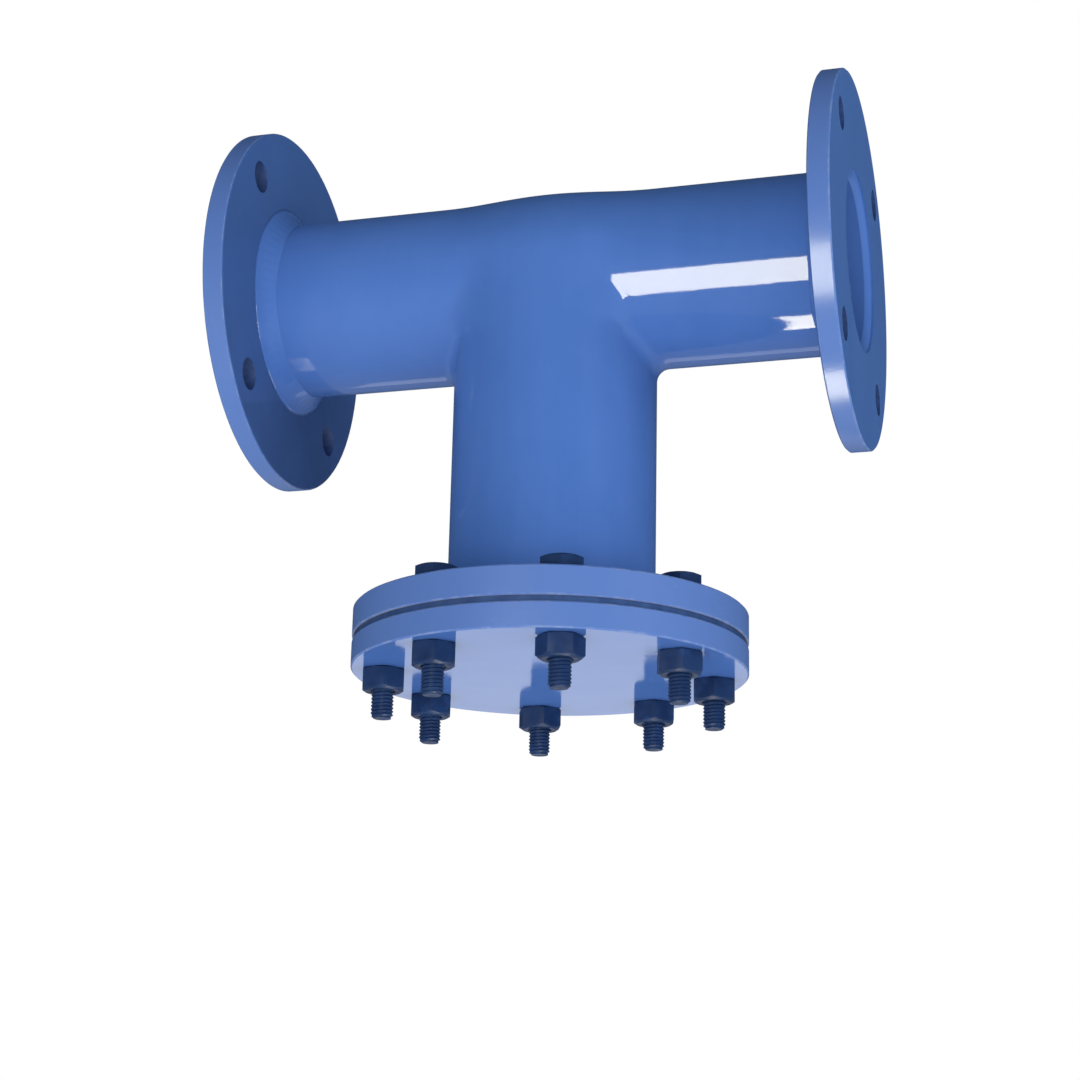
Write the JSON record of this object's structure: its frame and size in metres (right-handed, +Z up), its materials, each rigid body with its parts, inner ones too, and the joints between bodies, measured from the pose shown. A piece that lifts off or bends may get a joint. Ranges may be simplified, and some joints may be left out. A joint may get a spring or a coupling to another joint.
{
  "type": "t strainer",
  "caption": "Pipeline T strainer: flanged straight run, wide barrel with bolted blind cover below, lift-out slant-top basket inside.",
  "frame": {"origin": "on the barrel's axis, at the middle of the base, level with the tips of the cover bolts", "axes": "+Z up along the barrel's axis, +X along the run from inlet to outlet, +Y across"},
  "size_m": [0.346, 0.216, 0.358],
  "materials": {
    "blue_paint": "gloss blue enamel over steel",
    "inner_steel": "dull red-brown primer",
    "stainless": "pickled stainless sheet",
    "wire_cloth": "woven stainless wire",
    "gasket": "black sheet rubber",
    "dark_steel": "blackened steel with blue overspray"
  },
  "bodies": {
    "body": {"tee_body": "blue_paint", "barrel_pipe": "blue_paint", "inlet_pipe": "blue_paint", "outlet_pipe": "blue_paint", "inlet_flange": "blue_paint", "outlet_flange": "blue_paint", "inlet_flange_weld": "blue_paint", "outlet_flange_weld": "blue_paint", "inlet_seal_weld": "blue_paint", "outlet_seal_weld": "blue_paint", "body_flange": "blue_paint", "body_flange_weld": "blue_paint", "body_flange_seal_weld": "blue_paint", "diaphragm": "inner_steel", "basket_guides": "inner_steel"},
    "cover": {"cover": "blue_paint", "cover_gasket": "gasket"},
    "basket": {"basket_screen": "stainless", "basket_lining": "wire_cloth", "basket_rim": "stainless", "basket_base": "stainless", "basket_skirt": "stainless", "basket_bar": "stainless"},
    "bolt_1": {"cover_bolt_1": "dark_steel"},
    "nut_1": {"cover_nut_1": "dark_steel"},
    "bolt_2": {"cover_bolt_2": "dark_steel"},
    "nut_2": {"cover_nut_2": "dark_steel"},
    "bolt_3": {"cover_bolt_3": "dark_steel"},
    "nut_3": {"cover_nut_3": "dark_steel"},
    "bolt_4": {"cover_bolt_4": "dark_steel"},
    "nut_4": {"cover_nut_4": "dark_steel"},
    "bolt_5": {"cover_bolt_5": "dark_steel"},
    "nut_5": {"cover_nut_5": "dark_steel"},
    "bolt_6": {"cover_bolt_6": "dark_steel"},
    "nut_6": {"cover_nut_6": "dark_steel"},
    "bolt_7": {"cover_bolt_7": "dark_steel"},
    "nut_7": {"cover_nut_7": "dark_steel"},
    "bolt_8": {"cover_bolt_8": "dark_steel"},
    "nut_8": {"cover_nut_8": "dark_steel"}
  },
  "joints": [
    {"name": "cover_lower", "type": "slide", "parent": "body", "child": "cover", "axis": [0, 0, -1], "range_m": [0, 0.345]},
    {"name": "basket_lower", "type": "slide", "parent": "body", "child": "basket", "axis": [0, 0, -1], "range_m": [0, 0.311]},
    {"name": "bolt_1_turn", "type": "hinge", "parent": "body", "child": "bolt_1", "pos_m": [0.08484, 0.03004, 0.06], "axis": [0, 0, 1], "range_deg": [0, 5040]},
    {"name": "nut_1_run", "type": "slide", "parent": "cover", "child": "nut_1", "axis": [0, 0, -1], "range_m": [0, 0.02735]},
    {"name": "bolt_2_turn", "type": "hinge", "parent": "body", "child": "bolt_2", "pos_m": [0.03875, 0.08123, 0.06], "axis": [0, 0, 1], "range_deg": [0, 5040]},
    {"name": "nut_2_run", "type": "slide", "parent": "cover", "child": "nut_2", "axis": [0, 0, -1], "range_m": [0, 0.02735]},
    {"name": "bolt_3_turn", "type": "hinge", "parent": "body", "child": "bolt_3", "pos_m": [-0.03004, 0.08484, 0.06], "axis": [0, 0, 1], "range_deg": [0, 5040]},
    {"name": "nut_3_run", "type": "slide", "parent": "cover", "child": "nut_3", "axis": [0, 0, -1], "range_m": [0, 0.02735]},
    {"name": "bolt_4_turn", "type": "hinge", "parent": "body", "child": "bolt_4", "pos_m": [-0.08123, 0.03875, 0.06], "axis": [0, 0, 1], "range_deg": [0, 5040]},
    {"name": "nut_4_run", "type": "slide", "parent": "cover", "child": "nut_4", "axis": [0, 0, -1], "range_m": [0, 0.02735]},
    {"name": "bolt_5_turn", "type": "hinge", "parent": "body", "child": "bolt_5", "pos_m": [-0.08484, -0.03004, 0.06], "axis": [0, 0, 1], "range_deg": [0, 5040]},
    {"name": "nut_5_run", "type": "slide", "parent": "cover", "child": "nut_5", "axis": [0, 0, -1], "range_m": [0, 0.02735]},
    {"name": "bolt_6_turn", "type": "hinge", "parent": "body", "child": "bolt_6", "pos_m": [-0.03875, -0.08123, 0.06], "axis": [0, 0, 1], "range_deg": [0, 5040]},
    {"name": "nut_6_run", "type": "slide", "parent": "cover", "child": "nut_6", "axis": [0, 0, -1], "range_m": [0, 0.02735]},
    {"name": "bolt_7_turn", "type": "hinge", "parent": "body", "child": "bolt_7", "pos_m": [0.03004, -0.08484, 0.06], "axis": [0, 0, 1], "range_deg": [0, 5040]},
    {"name": "nut_7_run", "type": "slide", "parent": "cover", "child": "nut_7", "axis": [0, 0, -1], "range_m": [0, 0.02735]},
    {"name": "bolt_8_turn", "type": "hinge", "parent": "body", "child": "bolt_8", "pos_m": [0.08123, -0.03875, 0.06], "axis": [0, 0, 1], "range_deg": [0, 5040]},
    {"name": "nut_8_run", "type": "slide", "parent": "cover", "child": "nut_8", "axis": [0, 0, -1], "range_m": [0, 0.02735]}
  ],
  "couplings": [
    {"joint": "basket_lower", "follows": "cover_lower", "ratio": 0.9},
    {"joint": "bolt_1_turn", "follows": "nut_1_run", "rad_per_m": 3215.8},
    {"joint": "bolt_2_turn", "follows": "nut_2_run", "rad_per_m": 3215.8},
    {"joint": "bolt_3_turn", "follows": "nut_3_run", "rad_per_m": 3215.8},
    {"joint": "bolt_4_turn", "follows": "nut_4_run", "rad_per_m": 3215.8},
    {"joint": "bolt_5_turn", "follows": "nut_5_run", "rad_per_m": 3215.8},
    {"joint": "bolt_6_turn", "follows": "nut_6_run", "rad_per_m": 3215.8},
    {"joint": "bolt_7_turn", "follows": "nut_7_run", "rad_per_m": 3215.8},
    {"joint": "bolt_8_turn", "follows": "nut_8_run", "rad_per_m": 3215.8}
  ]
}
